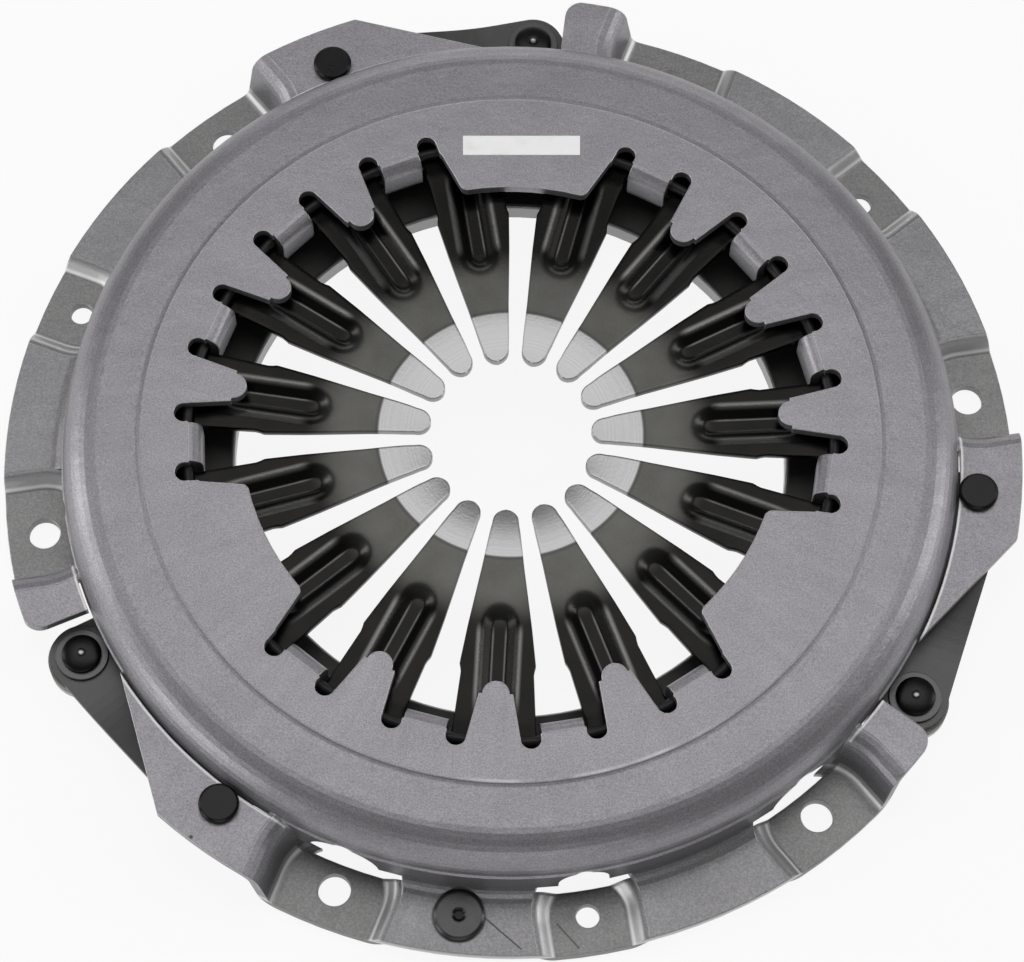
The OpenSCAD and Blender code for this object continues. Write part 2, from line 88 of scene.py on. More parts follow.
VIEW_AZIMUTH = math.radians(1.934)
VIEW_ELEVATION = math.radians(67.723)
VIEW_ROLL = math.radians(1.065)
VIEW_DISTANCE = 948 * MM
VIEW_SIDEWAYS = 0.56 * MM
VIEW_UPWARDS = -3.7 * MM
VIEW_TARGET_HEIGHT = 1.6 * MM
SENSOR_WIDTH = 36
FOCAL_LENGTH = 116.02


def photo_axes():
    """The photograph's right, up and backward directions, in the row frame."""
    back = Vector((math.sin(VIEW_AZIMUTH) * math.cos(VIEW_ELEVATION),
                   -math.cos(VIEW_AZIMUTH) * math.cos(VIEW_ELEVATION),
                   math.sin(VIEW_ELEVATION)))
    level = Vector((math.cos(VIEW_AZIMUTH), math.sin(VIEW_AZIMUTH), 0))
    upright = back.cross(level)
    right = math.cos(VIEW_ROLL) * level + math.sin(VIEW_ROLL) * upright
    up = math.cos(VIEW_ROLL) * upright - math.sin(VIEW_ROLL) * level
    return right, up, back


def photo_eye():
    """The place from which the photograph was taken."""
    right, up, back = photo_axes()
    return (back * VIEW_DISTANCE + right * VIEW_SIDEWAYS + up * VIEW_UPWARDS
            + Vector((0, 0, VIEW_TARGET_HEIGHT)))


def photo_camera():
    """The scene's camera, which sees what the photograph shows."""
    camera = added("camera", bpy.data.cameras.new("camera"))
    camera.data.sensor_width = SENSOR_WIDTH
    camera.data.lens = FOCAL_LENGTH
    turn = Matrix(photo_axes()).transposed().to_4x4()
    camera.matrix_world = Matrix.Translation(photo_eye()) @ turn
    bpy.context.scene.camera = camera


def under_pixel(pixel_x, pixel_y, height):
    """The point at a height above the flywheel face that a pixel of the photograph shows."""
    right, up, back = photo_axes()
    focal_px = FOCAL_LENGTH / SENSOR_WIDTH * PHOTO_WIDTH
    ray = (right * (pixel_x - PHOTO_WIDTH / 2) / focal_px
           - up * (pixel_y - PHOTO_HEIGHT / 2) / focal_px - back)
    eye = photo_eye()
    return eye + ray * ((height - eye.z) / ray.z)


# Node trees. The Mix node has a set of sockets for numbers and one for colours, told apart by their place.

MIX_NUMBER_A = 2
MIX_NUMBER_B = 3
MIX_NUMBER_OUT = 0
MIX_COLOUR_A = 6
MIX_COLOUR_B = 7
MIX_COLOUR_OUT = 2
BEVEL_SAMPLES = 6
EDGE_LEAN = (0.01, 0.16)
SCRATCH_CORE = 0.3
SPECK_CORE = 0.5


class Graph:
    """A material's node tree, built with short calls. Lengths are in metres in the row frame."""

    def __init__(self, name):
        self.material = bpy.data.materials.new(name)
        self.material.use_nodes = True
        self.tree = self.material.node_tree
        self.tree.nodes.clear()
        self.place = self.node("ShaderNodeTexCoord").outputs["Object"]
        split = self.node("ShaderNodeSeparateXYZ")
        self.feed(split.inputs[0], self.place)
        self.x, self.y, self.z = split.outputs
        self.radius = self.distance(self.x, self.y)

    def node(self, kind):
        return self.tree.nodes.new(kind)

    def feed(self, socket, value):
        """A number or colour is set on the socket, and another node's output is linked to it."""
        if isinstance(value, bpy.types.NodeSocket):
            self.tree.links.new(value, socket)
        else:
            socket.default_value = value

    def math(self, operation, *values):
        made = self.node("ShaderNodeMath")
        made.operation = operation
        for socket, value in zip(made.inputs, values):
            self.feed(socket, value)
        return made.outputs[0]

    def both(self, a, b):
        """The product, which for two masks is 1 only where both are."""
        return self.math("MULTIPLY", a, b)

    def minus(self, a, b):
        return self.math("SUBTRACT", a, b)

    def distance(self, a, b):
        """How far a step goes that is a in one direction and b across it."""
        return self.math("SQRT", self.math("ADD", self.both(a, a), self.both(b, b)))

    def rise(self, value, low, high):
        """0 below low, 1 above high, smooth between. With low above high it falls instead."""
        made = self.node("ShaderNodeMapRange")
        made.interpolation_type = "SMOOTHSTEP"
        self.feed(made.inputs["Value"], value)
        if low < high:
            bounds = (low, high, 0, 1)
        else:
            bounds = (high, low, 1, 0)
        for name, bound in zip(("From Min", "From Max", "To Min", "To Max"), bounds):
            made.inputs[name].default_value = bound
        return made.outputs["Result"]

    def bump_at(self, value, middle, half_width):
        """1 at the middle, 0 beyond half_width on both sides."""
        return self.rise(self.math("ABSOLUTE", self.minus(value, middle)), half_width, 0)

    def noise(self, size, detail, roughness, stretch=(1, 1, 1), place=None):
        """Noise from 0 to 1 whose lumps are about size metres across."""
        mapping = self.node("ShaderNodeMapping")
        self.feed(mapping.inputs["Vector"], place or self.place)
        mapping.inputs["Scale"].default_value = [1 / (size * s) for s in stretch]
        made = self.node("ShaderNodeTexNoise")
        self.feed(made.inputs["Vector"], mapping.outputs[0])
        made.inputs["Scale"].default_value = 1
        made.inputs["Detail"].default_value = detail
        made.inputs["Roughness"].default_value = roughness
        return made.outputs["Fac"]

    def polar_place(self):
        """Angle in turns, radius and height as a place, for marks that run round or outward."""
        joined = self.node("ShaderNodeCombineXYZ")
        turns = self.math("DIVIDE", self.math("ARCTAN2", self.y, self.x), math.tau)
        for socket, value in zip(joined.inputs, (turns, self.radius, self.z)):
            self.feed(socket, value)
        return joined.outputs[0]

    def radius_place(self):
        """The radius alone as a place, for turned grooves."""
        joined = self.node("ShaderNodeCombineXYZ")
        self.feed(joined.inputs[0], self.radius)
        return joined.outputs[0]

    def folded(self, count, first):
        """Along and across the nearest of count equal directions round Z, one of them at the angle first."""
        step = math.tau / count
        turn = self.minus(self.math("ARCTAN2", self.y, self.x), first)
        steps = self.math("ADD", self.math("DIVIDE", turn, step), 0.5)
        angle = self.both(self.minus(self.math("FRACT", steps), 0.5), step)
        return (self.both(self.radius, self.math("COSINE", angle)),
                self.both(self.radius, self.math("SINE", angle)))

    def scratch(self, start, end, half_width):
        """1 on a thin straight line between two points, seen from above."""
        run = end - start
        square = run.x ** 2 + run.y ** 2
        off_x = self.minus(self.x, start.x)
        off_y = self.minus(self.y, start.y)
        share = self.math("ADD", self.both(off_x, run.x / square), self.both(off_y, run.y / square))
        share = self.math("MINIMUM", self.math("MAXIMUM", share, 0), 1)
        away = self.distance(self.minus(off_x, self.both(share, run.x)),
                             self.minus(off_y, self.both(share, run.y)))
        return self.rise(away, half_width, SCRATCH_CORE * half_width)

    def specks(self, spacing, size, share):
        """Small round spots, 1 inside: one in each cell of that spacing, kept for a share of the cells."""
        cells = self.node("ShaderNodeTexVoronoi")
        self.feed(cells.inputs["Vector"], self.place)
        cells.inputs["Scale"].default_value = 1 / spacing
        spot = self.rise(cells.outputs["Distance"], size / spacing, SPECK_CORE * size / spacing)
        split = self.node("ShaderNodeSeparateColor")
        self.feed(split.inputs[0], cells.outputs["Color"])
        return self.both(spot, self.rise(split.outputs[0], share + 0.01, share - 0.01))

    def mix(self, share, a, b):
        """A colour between a and b, by a share from 0 to 1."""
        made = self.node("ShaderNodeMix")
        made.data_type = "RGBA"
        self.feed(made.inputs[0], share)
        self.feed(made.inputs[MIX_COLOUR_A], a)
        self.feed(made.inputs[MIX_COLOUR_B], b)
        return made.outputs[MIX_COLOUR_OUT]

    def level(self, share, a, b):
        """A number between a and b, by a share from 0 to 1."""
        made = self.node("ShaderNodeMix")
        self.feed(made.inputs[0], share)
        self.feed(made.inputs[MIX_NUMBER_A], a)
        self.feed(made.inputs[MIX_NUMBER_B], b)
        return made.outputs[MIX_NUMBER_OUT]

    def over(self, colour, mask, strength, tone):
        """The colour with a tone laid over it at that strength, where the mask is 1."""
        return self.mix(self.both(mask, strength), colour, tone)

    def bump(self, height, depth, normal=None):
        """Normals of a skin that is rough by that depth, on top of other normals."""
        made = self.node("ShaderNodeBump")
        self.feed(made.inputs["Height"], height)
        made.inputs["Distance"].default_value = depth
        if normal is not None:
            self.feed(made.inputs["Normal"], normal)
        return made.outputs[0]

    def soft_edges(self, radius):
        """Normals that round off the edges by that radius."""
        made = self.node("ShaderNodeBevel")
        made.samples = BEVEL_SAMPLES
        made.inputs["Radius"].default_value = radius
        return made.outputs[0]

    def edge_share(self, rounded):
        """0 on flat stretches and 1 on edges, from normals that soft_edges made."""
        geometry = self.node("ShaderNodeNewGeometry")
        dot = self.node("ShaderNodeVectorMath")
        dot.operation = "DOT_PRODUCT"
        self.feed(dot.inputs[0], geometry.outputs["Normal"])
        self.feed(dot.inputs[1], rounded)
        return self.rise(self.minus(1, dot.outputs["Value"]), *EDGE_LEAN)

    def surface(self, **values):
        """The Principled shader with these sockets, as the material's surface."""
        shader = self.node("ShaderNodeBsdfPrincipled")
        for name, value in values.items():
            self.feed(shader.inputs[name.replace("_", " ")], value)
        output = self.node("ShaderNodeOutputMaterial")
        self.feed(output.inputs[0], shader.outputs[0])
        return self.material


def grey(level, tint=(0, 0, 0)):
    """A linear colour from a level and small differences of red, green and blue."""
    return [level + t for t in tint] + [1]


# Noise of the materials: size of the lumps, detail, roughness and, where it is drawn out, the stretch

COVER_GRAIN = (0.7 * MM, 3, 0.7)
COVER_CLOUD = (16 * MM, 4, 0.55)
COVER_PEPPER = (0.45 * MM, 2, 0.8)
COVER_DRAWING = (1.0, 3, 0.6, (0.004, 0.05, 0.05))
IRON_SAND = (1.2 * MM, 4, 0.65)
IRON_CLOUD = (12 * MM, 3, 0.5)
IRON_TURNING = (0.25 * MM, 1, 0.5)
SPRING_GRAIN = (0.8 * MM, 3, 0.65)
SPRING_CLOUD = (9 * MM, 3, 0.5)
SPRING_GRINDING = (0.5 * MM, 2, 0.6)
SMALL_GRAIN = (0.6 * MM, 3, 0.6)
SMALL_CLOUD = (5 * MM, 3, 0.5)
PAPER_FIBRE = (0.5 * MM, 3, 0.6)
PAPER_SMUDGE = (9 * MM, 3, 0.6)
FINE_DEPTH = 0.03 * MM


# Cover: its places, its pairs of tones, and what is laid over them, each as a strength and a tone

DOME_RADIUS = 126 * MM
CROWN_RADIUS = 103.5 * MM
EAR_EDGE_RADIUS = 127.3 * MM
PAD_HEIGHT = 3 * MM
FLANGE_TOP = 6.5 * MM
EAR_UNDERSIDE = 17.1 * MM
FLANGE_BELOW = (14 * MM, 9 * MM)
# Where the painted highlight along the crown lies, across the front of the dome
CROWN_HIGHLIGHT_Y = (-78 * MM, -94 * MM)
CROWN_HIGHLIGHT_X = (-14 * MM, 4 * MM)
SPECKS = (28 * MM, 0.8 * MM, 0.35)
SCRATCHES_PX = [((485, 918), (521, 949), FLANGE_TOP), ((557, 924), (579, 948), PAD_HEIGHT)]
SCRATCH_HALF_WIDTH = 0.35 * MM
COVER_EDGE = 0.5 * MM
GRAIN_DEPTH = 0.05 * MM
CLOUD_DEPTH = 0.4 * MM
CROWN_DEPTH = 0.06 * MM
GRAIN_CONTRAST = (0.3, 0.7)
PEPPER_CONTRAST = (0.35, 0.65)
CROWN_SHADE_PATCHES = (0.35, 0.6)
CROWN_HIGHLIGHT_PATCHES = (0.3, 0.6)

DOME_TONES = (grey(0.24, (0.004, -0.006, 0.012)), grey(0.335, (0.004, -0.006, 0.014)))
RAISED_TONES = (grey(0.20, (0.004, 0, 0.002)), grey(0.27, (0.004, 0, 0.006)))
PAD_TONES = (grey(0.11, (0.004, 0.004, -0.006)), grey(0.17, (0.004, 0.004, -0.006)))
CROWN_SHADE_LINE = (0.45, grey(0.12, (0, 0, 0.004)))
DARK_SPECK = (1, grey(0.03))
PALE_GRAIN = (0.3, grey(0.44, (0, -0.006, 0.01)))
DARK_GRAIN = (0.5, grey(0.12, (0.002, -0.004, 0.008)))
CROWN_HIGHLIGHT = (0.6, grey(0.6, (0.004, -0.006, 0.014)))
DARK_SCRATCH = (0.8, grey(0.03))
EDGE_HIGHLIGHT = (0.6, grey(0.72))
RAMP_HIGHLIGHT = (0.6, grey(0.62))
LINE_HIGHLIGHT_STRENGTH = 0.85
LINE_HIGHLIGHT_TONE = grey(0.9)


def cover_base(g, cloud):
    """The dome's tones and, low down outside it, the flange's, which are darker on the seats."""
    seats = g.rise(g.z, PAD_HEIGHT + 1.2 * MM, PAD_HEIGHT + 0.4 * MM)
    flange = g.mix(seats, g.mix(cloud, *RAISED_TONES), g.mix(cloud, *PAD_TONES))
    low = g.both(g.rise(g.radius, DOME_RADIUS - 0.3 * MM, DOME_RADIUS + 0.6 * MM),
                 g.rise(g.z, *FLANGE_BELOW))
    return g.mix(low, g.mix(cloud, *DOME_TONES), flange)


def highlight_lines(g, outside):
    """1 on the painted highlight lines at the foot of the flange's steps and along the inner edges of the
    ears.
    """
    foot = g.both(g.bump_at(g.z, PAD_HEIGHT + 0.7 * MM, 0.8 * MM), outside)
    ear_edge = g.both(g.bump_at(g.radius, EAR_EDGE_RADIUS, 0.65 * MM),
                      g.rise(g.z, EAR_UNDERSIDE + 0.5 * MM, EAR_UNDERSIDE + 1 * MM))
    return g.math("MAXIMUM", foot, ear_edge)


def cover_steel():
    """Pressed steel: pale grey with a violet tint on the dome, duller and warmer on the flange."""
    g = Graph("cover_steel_look")
    fine = g.noise(*COVER_GRAIN)
    cloud = g.noise(*COVER_CLOUD)
    drawn = g.noise(*COVER_DRAWING, g.polar_place())
    edge = g.soft_edges(COVER_EDGE)
    crown = g.bump_at(g.radius, CROWN_RADIUS, 0.5 * MM)
    colour = cover_base(g, cloud)
    # painted shade: a dark line in patches along the crown, where the flat top turns into the sloping rim
    colour = g.over(colour, g.both(crown, g.rise(cloud, *CROWN_SHADE_PATCHES)), *CROWN_SHADE_LINE)
    colour = g.over(colour, g.specks(*SPECKS), *DARK_SPECK)
    colour = g.over(colour, g.rise(fine, *GRAIN_CONTRAST), *PALE_GRAIN)
    colour = g.over(colour, g.rise(g.noise(*COVER_PEPPER), *PEPPER_CONTRAST), *DARK_GRAIN)
    # painted highlight: a bright line in patches along the crown at the front of the dome
    crown_highlight = g.both(g.bump_at(g.radius, CROWN_RADIUS - 0.4 * MM, 0.8 * MM),
                   g.both(g.rise(g.y, *CROWN_HIGHLIGHT_Y), g.rise(g.x, *CROWN_HIGHLIGHT_X)))
    colour = g.over(colour, g.both(crown_highlight, g.rise(cloud, *CROWN_HIGHLIGHT_PATCHES)), *CROWN_HIGHLIGHT)
    for start, end, height in SCRATCHES_PX:
        mark = g.scratch(under_pixel(*start, height), under_pixel(*end, height), SCRATCH_HALF_WIDTH)
        colour = g.over(colour, mark, *DARK_SCRATCH)
    # painted highlight: every edge found by the rounded normals is made paler
    colour = g.over(colour, g.edge_share(edge), *EDGE_HIGHLIGHT)
    outside = g.rise(g.radius, DOME_RADIUS + 1.2 * MM, DOME_RADIUS + 1.8 * MM)
    # painted highlight: the flange's ramps outside the dome are made paler
    ramp = g.both(g.rise(g.z, PAD_HEIGHT + 0.4 * MM, PAD_HEIGHT + 1 * MM),
                  g.rise(g.z, FLANGE_TOP - 0.1 * MM, FLANGE_TOP - 0.6 * MM))
    colour = g.over(colour, g.both(ramp, outside), *RAMP_HIGHLIGHT)
    # painted highlight: near white, less metallic lines at the feet of the steps and along the ears' inner
    # edges
    line_highlight = g.both(highlight_lines(g, outside), LINE_HIGHLIGHT_STRENGTH)
    colour = g.mix(line_highlight, colour, LINE_HIGHLIGHT_TONE)
    skin = g.bump(fine, GRAIN_DEPTH, edge)
    skin = g.bump(cloud, CLOUD_DEPTH, skin)
    skin = g.bump(crown, CROWN_DEPTH, skin)
    return g.surface(Base_Color=colour, Metallic=g.level(line_highlight, 0.8, 0.2),
                     Roughness=g.level(drawn, 0.36, 0.48), Normal=skin)


# Pressure plate. Its lowest points are the undersides of its lugs.

SHADED_RADIUS = 112 * MM
BORE_RADIUS = 78.6 * MM
FACE_ABOVE_LUGS = 2.1 * MM
SAND_DEPTH = 0.12 * MM
IRON_EDGE = 0.6 * MM
IRON_TONES = (grey(0.15, (0.012, 0.006, -0.006)), grey(0.23, (0.014, 0.008, -0.006)))
TURNED_TONES = (grey(0.28), grey(0.40))
SHADED_IRON = (0.85, grey(0.02))


def cast_iron():
    """Cast iron, rough on the lugs and the back, turned on the friction face and the bore."""
    g = Graph("cast_iron_look")
    inner = g.rise(g.radius, SHADED_RADIUS + 3 * MM, SHADED_RADIUS)
    rough_cast = g.over(g.mix(g.noise(*IRON_CLOUD), *IRON_TONES), inner, *SHADED_IRON)
    smooth = g.mix(g.noise(*IRON_TURNING, place=g.radius_place()), *TURNED_TONES)
    face_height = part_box("pressure_plate")[0].z + FACE_ABOVE_LUGS
    face = g.rise(g.z, face_height + 0.35 * MM, face_height + 0.15 * MM)
    bore = g.rise(g.radius, BORE_RADIUS + 0.3 * MM, BORE_RADIUS)
    machined = g.math("MAXIMUM", face, bore)
    skin = g.bump(g.noise(*IRON_SAND), SAND_DEPTH, g.soft_edges(IRON_EDGE))
    return g.surface(Base_Color=g.mix(machined, rough_cast, smooth), Metallic=0.55,
                     Roughness=g.level(machined, 0.62, 0.3), Normal=skin)


# Spring: places on a finger, pairs of tones and what is laid over them

GROUND_RADIUS = 37 * MM
OIL_AND_SHADE_FROM = 46 * MM
OIL_AND_SHADE_TO = 58 * MM
SHOULDER_AT = 5.35 * MM
FLOOR_EDGE_AT = 1.8 * MM
CHANNEL_BEGINS = (56 * MM, 60 * MM)
CHANNEL_ENDS = (84 * MM, 76 * MM)
SPRING_TONES = (grey(0.045, (0.004, 0.003, -0.004)), grey(0.095, (0.005, 0.004, -0.005)))
OIL_AND_SHADE_TONES = (grey(0.005), grey(0.011, (0.001, 0, -0.001)))
GROUND_TONES = (grey(0.25, (0, 0, 0.004)), grey(0.36, (0, 0, 0.004)))
SPRING_PALE_GRAIN = (0.3, grey(0.15, (0.004, 0.003, -0.004)))
SHOULDER_HIGHLIGHT = (0.8, grey(0.16, (0.004, 0.002, -0.002)))
FLOOR_EDGE_HIGHLIGHT = (0.6, grey(0.12))
GROUND_RIM = (0.5, grey(0.04))


def spring_steel():
    """Oiled spring steel, near black under the cover from oil and painted shade, with the fingers' ends
    ground bright.
    """
    g = Graph("spring_steel_look")
    fine = g.noise(*SPRING_GRAIN)
    cloud = g.noise(*SPRING_CLOUD)
    oiled_and_shaded = g.rise(g.radius, OIL_AND_SHADE_FROM, OIL_AND_SHADE_TO)
    dark = g.over(g.mix(cloud, *SPRING_TONES), fine, *SPRING_PALE_GRAIN)
    # painted shade with oil: the colour turns near black from 46 to 58 mm out, under the cover
    dark = g.mix(oiled_and_shaded, dark, g.mix(cloud, *OIL_AND_SHADE_TONES))
    along, across = g.folded(FINGERS, math.pi / 2 + HALF_SECTOR)
    off = g.math("ABSOLUTE", across)
    channel = g.both(g.rise(along, *CHANNEL_BEGINS), g.rise(along, *CHANNEL_ENDS))
    # painted highlight: lighter lines along the channels' shoulders and floor edges on every finger
    dark = g.over(dark, g.both(g.bump_at(off, SHOULDER_AT, 1.4 * MM), channel), *SHOULDER_HIGHLIGHT)
    dark = g.over(dark, g.both(g.bump_at(off, FLOOR_EDGE_AT, 0.5 * MM), channel), *FLOOR_EDGE_HIGHLIGHT)
    ground = g.rise(g.radius, GROUND_RADIUS + 0.5 * MM, GROUND_RADIUS - 0.3 * MM)
    bright = g.mix(g.noise(*SPRING_GRINDING, place=g.radius_place()), *GROUND_TONES)
    rim_line = g.bump_at(g.radius, GROUND_RADIUS + 0.7 * MM, 0.7 * MM)
    colour = g.over(g.mix(ground, dark, bright), rim_line, *GROUND_RIM)
    gloss = g.level(ground, g.level(oiled_and_shaded, 0.38, 0.24), 0.26)
    return g.surface(Base_Color=colour, Metallic=0.9, Roughness=gloss, Normal=g.bump(fine, FINE_DEPTH))


SMALL_GRAIN_STRENGTH = 0.25
SMALL_GRAIN_LIFT = 1.5
GLOSSIER = 0.05
DULLER = 0.08


def plain_metal(name, dark, light, roughness, metallic, edge_radius, tint=(0, 0, 0)):
    """A metal with fine grain and slow change of tone, for the small pieces."""
    g = Graph(name)
    fine = g.noise(*SMALL_GRAIN)
    cloud = g.noise(*SMALL_CLOUD)
    colour = g.mix(cloud, grey(dark, tint), grey(light, tint))
    colour = g.over(colour, fine, SMALL_GRAIN_STRENGTH, grey(light * SMALL_GRAIN_LIFT, tint))
    return g.surface(Base_Color=colour, Metallic=metallic,
                     Roughness=g.level(cloud, roughness - GLOSSIER, roughness + DULLER),
                     Normal=g.bump(fine, FINE_DEPTH, g.soft_edges(edge_radius)))


# Rivets: a painted highlight spot on the heads on the lugs, and a duller face on the wide one on the flange

GLINT_FADE = (1.0 * MM, 0.3 * MM)
WIDE_HEAD_FADE = (12 * MM, 11 * MM)
WIDE_HEAD_MIDDLE = (1.4 * MM, 2 * MM)
RIVET_EDGE = 0.5 * MM
RIVET_TONES = (grey(0.008), grey(0.016, (0, 0, 0.001)))
GLINT_TONE = grey(0.35)
WIDE_HEAD_TONES = (grey(0.035), grey(0.075))


def rivet_steel():
    """Black rivet steel, with a painted highlight spot on the lugs' rivets and a duller face on the wide
    one.
    """
    g = Graph("rivet_look")
    fine = g.noise(*SMALL_GRAIN)
    cloud = g.noise(*SMALL_CLOUD)
    lug = middle_of("lug_rivet_1")
    along, across = g.folded(len(GROUPS), math.atan2(lug.y, lug.x))
    from_lug = g.distance(g.minus(along, math.hypot(lug.x, lug.y)), across)
    # painted highlight: a pale spot at the middle of each lug rivet's head
    colour = g.mix(g.rise(from_lug, *GLINT_FADE), g.mix(cloud, *RIVET_TONES), GLINT_TONE)
    wide = middle_of("balance_rivet")
    from_wide = g.distance(g.minus(g.x, wide.x), g.minus(g.y, wide.y))
    dull = g.both(g.rise(from_wide, *WIDE_HEAD_FADE), g.rise(from_wide, *WIDE_HEAD_MIDDLE))
    colour = g.mix(dull, colour, g.mix(cloud, *WIDE_HEAD_TONES))
    return g.surface(Base_Color=colour, Metallic=0.8, Roughness=g.level(cloud, 0.22, 0.36),
                     Normal=g.bump(fine, FINE_DEPTH, g.soft_edges(RIVET_EDGE)))


PAPER_TONES = (grey(0.98), grey(0.88, (0.01, 0.005, -0.01)))
PAPER_DEPTH = 0.02 * MM
SMUDGE_CONTRAST = (0.45, 0.75)


def label_paper():
    """Blank white paper, a little grubby."""
    g = Graph("label_look")
    colour = g.mix(g.rise(g.noise(*PAPER_SMUDGE), *SMUDGE_CONTRAST), *PAPER_TONES)
    return g.surface(Base_Color=colour, Roughness=0.7,
                     Normal=g.bump(g.noise(*PAPER_FIBRE), PAPER_DEPTH))


LOOKS = {
    "cover_steel": cover_steel(),
    "cast_iron": cast_iron(),
    "spring_steel": spring_steel(),
    "wire_steel": plain_metal("wire_look", dark=0.016, light=0.03, roughness=0.45, metallic=0.8,
                              edge_radius=0.1 * MM),
    "strap_steel": plain_metal("strap_look", dark=0.055, light=0.085, roughness=0.38, metallic=0.75,
                               edge_radius=0.15 * MM, tint=(0.002, 0, 0.001)),
    "rivet_steel": rivet_steel(),
    "washer_steel": plain_metal("washer_look", dark=0.06, light=0.11, roughness=0.35, metallic=0.85,
                                edge_radius=0.35 * MM),
    "label": label_paper(),
}


def dress_nodes():
    """Each CAD node that stays takes the look of its material slot."""
    for node in frame["nodes"].values():
        for slot in node.material_slots:
            slot.material = LOOKS[slot.material.name.split(".")[0]]


# Pieces

WELD_DISTANCE = 0.0005 * MM
SMOOTH_ANGLE = math.radians(40)


def new_piece(name, verts, faces, look):
    """A smooth piece whose normals point outwards, with sharp edges where it turns by more."""
    mesh = bpy.data.meshes.new(name)
    mesh.from_pydata(verts, [], faces)
    mesh.materials.append(LOOKS[look])
    made = bmesh.new()
    made.from_mesh(mesh)
    bmesh.ops.remove_doubles(made, verts=made.verts, dist=WELD_DISTANCE)
    bmesh.ops.recalc_face_normals(made, faces=made.faces)
    made.to_mesh(mesh)
    made.free()
    mesh.shade_smooth()
    mesh.set_sharp_from_angle(angle=SMOOTH_ANGLE)
    return added(name, mesh)


def shell(rows_top, rows_under):
    """Vertices and faces of a closed shell between two grids of points of the same size."""
    rows, across = len(rows_top), len(rows_top[0])
    verts = [p for row in rows_top for p in row] + [p for row in rows_under for p in row]
    under = rows * across

    def at(i, j):
        return i * across + j

    faces = []
    for i in range(rows - 1):
        for j in range(across - 1):
            quad = (at(i, j), at(i, j + 1), at(i + 1, j + 1), at(i + 1, j))
            faces.append(quad)
            faces.append(tuple(under + k for k in reversed(quad)))
    rim = [at(0, j) for j in range(across)]
    rim += [at(i, across - 1) for i in range(1, rows)]
    rim += [at(rows - 1, j) for j in range(across - 2, -1, -1)]
    rim += [at(i, 0) for i in range(rows - 2, 0, -1)]
    for a, b in zip(rim, rim[1:] + rim[:1]):
        faces.append((b, a, under + a, under + b))
    return verts, faces


# Diaphragm spring, in plain millimetres: 15 sectors, each in two parts that meet at the pivot circle

SPRING_THICK = 2.5
TIP_INNER = 22.7
TIP_ROUND = 3.7
CREST_RADIUS = 36
KNUCKLE_RADIUS = 84.5
CREST_RISE = 0.7
TIP_FALL = 1.1
CONE = math.tan(math.radians(6.5))
PIVOT_PLAY = 0.06
WIRE_THICK = 3
SPRING_EDGE = 0.35
RIM_EDGE = 0.5
CHANNEL_DEPTH = 2
CHANNEL_FROM = 56.4
CHANNEL_TO = 78
CHANNEL_SIDE = 4.7
CHANNEL_SLOPE = 0.8
SHOULDER_SOFT = 1.5
FLOOR_SOFT = 0.25
SLOT_SIDES = [(20.7, 1.85), (30, 2), (40, 2.6), (58, 3.3), (69, 4), (71, 4.9), (86.9, 6.9), (88.3, 6.9)]
WINDOW_END = 89.5
WINDOW_HALF = 6.9
WINDOW_CORNER = 1.2

# How the grid of points is laid over a sector. Rows run across the finger and columns along it.

TIP_ROWS = 7
TIP_FIRST_TURN = 6
TIP_TURN_STEP = 13
TIP_NARROWED = 0.04
SLOT_FROM = 27.4
SLOT_ROWS = 50
WINDOW_ROWS = 4
BEFORE_SEAM = 0.4
RIM_ROWS = 8
QUARTER_TURN = [math.radians(22.5 * i) for i in range(5)]
EDGE_BAND = 0.45
EDGE_COLUMN = 0.3
HALF_COLUMNS = 14

upper_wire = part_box("upper_pivot_wire")
PIVOT_RADIUS = upper_wire[1].x / MM - WIRE_THICK / 2
PIVOT_TOP = upper_wire[0].z / MM - PIVOT_PLAY
SPRING_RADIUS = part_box("diaphragm_spring")[1].x / MM


def soft_lower(a, b, k):
    """The lower of a and b, rounded where they cross."""
    h = max(k - abs(a - b), 0) / k
    return min(a, b) - h * h * k / 4


def cone_height(r):
    """Top of the spring's plain cone."""
    return PIVOT_TOP - (r - PIVOT_RADIUS) * CONE


def spring_height(r):
    """Top of the spring without its channels: the cone, then the fingers up to their crest and over it."""
    if r >= KNUCKLE_RADIUS:
        return cone_height(r)
    if r >= CREST_RADIUS:
        rise = CREST_RISE * (KNUCKLE_RADIUS - r) / (KNUCKLE_RADIUS - CREST_RADIUS)
        return cone_height(KNUCKLE_RADIUS) + rise
    s = (CREST_RADIUS - r) / (CREST_RADIUS - TIP_INNER)
    return cone_height(KNUCKLE_RADIUS) + CREST_RISE - TIP_FALL * s * s


def channel_height(x, y):
    """How far the channel pressed into a finger lies below its surface, as a negative height."""
    along = min(max(x, CHANNEL_FROM), CHANNEL_TO)
    off = math.hypot(x - along, y)
    wall = CHANNEL_SLOPE * (off - CHANNEL_SIDE)
    top = soft_lower(0, wall, SHOULDER_SOFT)
    return -soft_lower(-top, CHANNEL_DEPTH, FLOOR_SOFT)


def slot_half(s):
    """Half the width of the slot between two fingers, at s along it."""
    for (s0, w0), (s1, w1) in zip(SLOT_SIDES, SLOT_SIDES[1:]):
        if s <= s1:
            return w0 + (w1 - w0) * (s - s0) / (s1 - s0)
    return SLOT_SIDES[-1][1]


def from_slot(s, half):
    """A point beside the slot, in the finger's own frame: along the finger and across it."""
    return (s * math.cos(HALF_SECTOR) + half * math.sin(HALF_SECTOR),
            s * math.sin(HALF_SECTOR) - half * math.cos(HALF_SECTOR))


